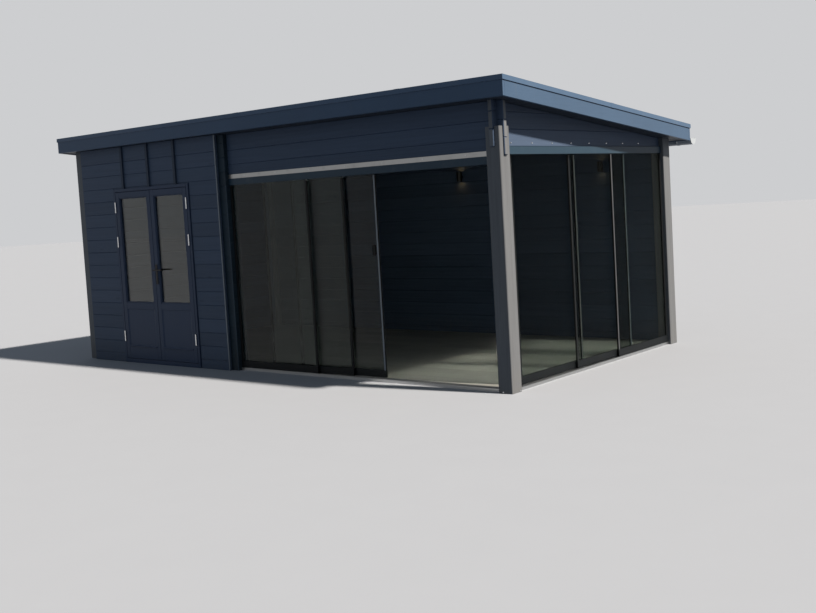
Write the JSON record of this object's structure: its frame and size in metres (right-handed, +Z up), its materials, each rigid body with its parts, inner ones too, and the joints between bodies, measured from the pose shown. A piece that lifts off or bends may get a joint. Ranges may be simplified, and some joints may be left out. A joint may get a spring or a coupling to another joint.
{
  "type": "garden office pod",
  "caption": "Flat-roofed timber garden room: closed shed end with a glazed double door, sliding glass walls on the front and one side, deep dark fascia, back gutter and downpipe",
  "frame": {"origin": "on the ground, at the middle of the box round the whole part, roof and gutter included", "axes": "+Z up, +X along the front to the right as seen from the front, the front faces -Y"},
  "size_m": [6.276, 3.5055, 2.5808],
  "materials": {
    "painted_boards": "opaque anthracite blue-grey stain, satin",
    "painted_posts": "opaque anthracite stain, satin",
    "floor_boards": "grey-beige floor boards, matt",
    "roof_timber": "planed bare softwood",
    "roof_skin": "matt black sheet",
    "bare_aluminium": "mill finish",
    "dark_aluminium": "anthracite powder coat",
    "trim_metal": "blue-grey coated metal trim",
    "panel_glass": "clear toughened glass",
    "door_glass": "clear insulated glass",
    "hinge_steel": "bright zinc plated",
    "lever_metal": "black coated, satin",
    "lamp_metal": "satin",
    "gutter_metal": "light grey coated metal"
  },
  "bodies": {
    "building": {"shed_wall_left": "painted_boards", "shed_wall_right": "painted_boards", "shed_wall_head": "painted_boards", "left_wall": "painted_boards", "back_wall": "painted_boards", "front_header": "painted_boards", "side_header": "painted_boards", "soffit_boards": "painted_boards", "long_fascias": "painted_boards", "side_fascias": "painted_boards", "door_frame": "painted_boards", "corner_post": "painted_posts", "middle_post": "painted_posts", "wall_posts": "painted_posts", "door_battens": "painted_posts", "floor_deck": "floor_boards", "roof_frame": "roof_timber", "roof_membrane": "roof_skin", "header_strip": "bare_aluminium", "bottom_tracks": "bare_aluminium", "top_tracks": "dark_aluminium", "fixed_shoes": "dark_aluminium", "roof_edge_trim": "trim_metal", "fixed_glass": "panel_glass", "frame_hinges": "hinge_steel", "wall_lamps": "lamp_metal", "gutter": "gutter_metal", "downpipe": "gutter_metal"},
    "left_leaf": {"left_door_leaf": "painted_boards", "left_door_glass": "door_glass", "left_leaf_hinges": "hinge_steel"},
    "right_leaf": {"right_door_leaf": "painted_boards", "right_door_glass": "door_glass", "right_leaf_hinges": "hinge_steel", "lock_plate": "lever_metal"},
    "lever": {"door_lever": "lever_metal"},
    "front_middle_panel": {"front_middle_glass": "panel_glass", "front_middle_shoe": "dark_aluminium"},
    "front_leading_panel": {"front_leading_glass": "panel_glass", "front_leading_shoe": "dark_aluminium", "panel_pull": "dark_aluminium"},
    "side_middle_panel": {"side_middle_glass": "panel_glass", "side_middle_shoe": "dark_aluminium"},
    "side_leading_panel": {"side_leading_glass": "panel_glass", "side_leading_shoe": "dark_aluminium"}
  },
  "joints": [
    {"name": "left_leaf_hinge", "type": "hinge", "parent": "building", "child": "left_leaf", "pos_m": [-2.2085, -1.66775, 1], "axis": [0, 0, -1], "range_deg": [0, 110]},
    {"name": "right_leaf_hinge", "type": "hinge", "parent": "building", "child": "right_leaf", "pos_m": [-0.9675, -1.66775, 1], "axis": [0, 0, 1], "range_deg": [0, 110]},
    {"name": "lever_turn", "type": "hinge", "parent": "right_leaf", "child": "lever", "pos_m": [-1.5555, -1.65975, 1.041], "axis": [0, 1, 0], "range_deg": [0, 40], "stiffness_Nm_per_rad": 2, "springref_deg": -34.38},
    {"name": "front_middle_slide", "type": "slide", "parent": "building", "child": "front_middle_panel", "axis": [1, 0, 0], "range_m": [-0.4425, 0.62]},
    {"name": "front_leading_slide", "type": "slide", "parent": "building", "child": "front_leading_panel", "axis": [1, 0, 0], "range_m": [-0.82, 1.305]},
    {"name": "side_middle_slide", "type": "slide", "parent": "building", "child": "side_middle_panel", "axis": [0, 1, 0], "range_m": [-0.137, 0.7205]},
    {"name": "side_leading_slide", "type": "slide", "parent": "building", "child": "side_leading_panel", "axis": [0, 1, 0], "range_m": [-0.111, 1.604]}
  ]
}
